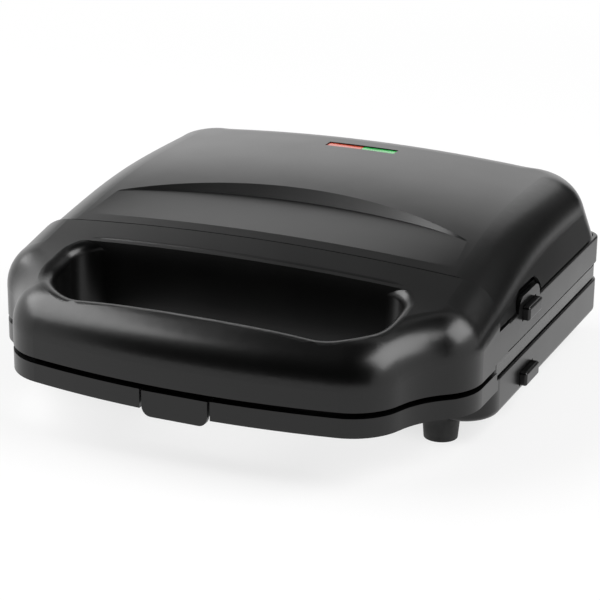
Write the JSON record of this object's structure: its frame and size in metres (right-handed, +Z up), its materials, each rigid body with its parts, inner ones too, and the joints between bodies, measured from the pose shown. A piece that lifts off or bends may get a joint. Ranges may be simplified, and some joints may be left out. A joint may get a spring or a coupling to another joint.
{
  "type": "sandwich maker",
  "caption": "Countertop sandwich maker: shallow base, hinged crowned lid with a loop handle, removable plates with triangular pockets, side release buttons and a front latch.",
  "frame": {"origin": "on the worktop, under the middle of the overall length and width", "axes": "+X to the right, +Y from the grip to the hinge, +Z up"},
  "size_m": [0.2466, 0.263, 0.0937],
  "materials": {
    "black_plastic": "satin",
    "liner_plastic": "satin",
    "nonstick": "coated",
    "bare_sheet": "brushed",
    "steel": "brushed",
    "heater_steel": "matt",
    "rubber": "matt",
    "red_lens": "polished",
    "green_lens": "polished",
    "lamp_clear": "polished",
    "board": "matt",
    "ceramic": "matt",
    "lead_sleeve": "matt"
  },
  "bodies": {
    "base": {"base_shell": "black_plastic", "base_liner": "liner_plastic", "lower_plate": "nonstick", "lower_plate_ridges": "nonstick", "lower_heater": "heater_steel", "lower_reflector": "bare_sheet", "lower_heater_saddles": "steel", "lower_button_spring": "steel", "foot_front_right": "rubber", "foot_front_left": "rubber", "foot_rear_right": "rubber", "foot_rear_left": "rubber", "foot_screws": "steel", "base_screws": "steel", "cord_gland": "rubber", "terminal_block": "ceramic", "base_leads": "lead_sleeve", "hinge_pin_right": "steel", "hinge_pin_left": "steel"},
    "lid": {"lid_frame": "black_plastic", "top_cover": "black_plastic", "handle_underside": "black_plastic", "lid_liner": "liner_plastic", "upper_plate": "nonstick", "upper_plate_ridges": "nonstick", "upper_heater": "heater_steel", "upper_reflector": "bare_sheet", "upper_heater_saddles": "steel", "upper_button_spring": "steel", "thermostat": "ceramic", "thermal_fuse": "ceramic", "lamp_bracket": "liner_plastic", "lamp_board": "board", "power_lamp": "lamp_clear", "ready_lamp": "lamp_clear", "power_lens": "red_lens", "ready_lens": "green_lens", "latch_pin": "steel", "lid_screws": "steel", "handle_screws": "steel", "lid_leads": "lead_sleeve"},
    "latch": {"latch_clip": "black_plastic"},
    "upper_button": {"upper_release_button": "black_plastic", "upper_plate_catch": "liner_plastic"},
    "lower_button": {"lower_release_button": "black_plastic", "lower_plate_catch": "liner_plastic"}
  },
  "joints": [
    {"name": "lid_hinge", "type": "hinge", "parent": "base", "child": "lid", "pos_m": [0, 0.1265, 0.0387], "axis": [-1, 0, 0], "range_deg": [0, 105]},
    {"name": "latch_pivot", "type": "hinge", "parent": "lid", "child": "latch", "pos_m": [0, -0.1215, 0.044], "axis": [-1, 0, 0], "range_deg": [-6, 14]},
    {"name": "upper_button_press", "type": "slide", "parent": "lid", "child": "upper_button", "axis": [-1, 0, 0], "range_m": [0, 0.003], "stiffness_N_per_m": 400, "springref_m": -0.002, "deforming": ["upper_button_spring"]},
    {"name": "lower_button_press", "type": "slide", "parent": "base", "child": "lower_button", "axis": [-1, 0, 0], "range_m": [0, 0.003], "stiffness_N_per_m": 400, "springref_m": -0.002, "deforming": ["lower_button_spring"]}
  ]
}
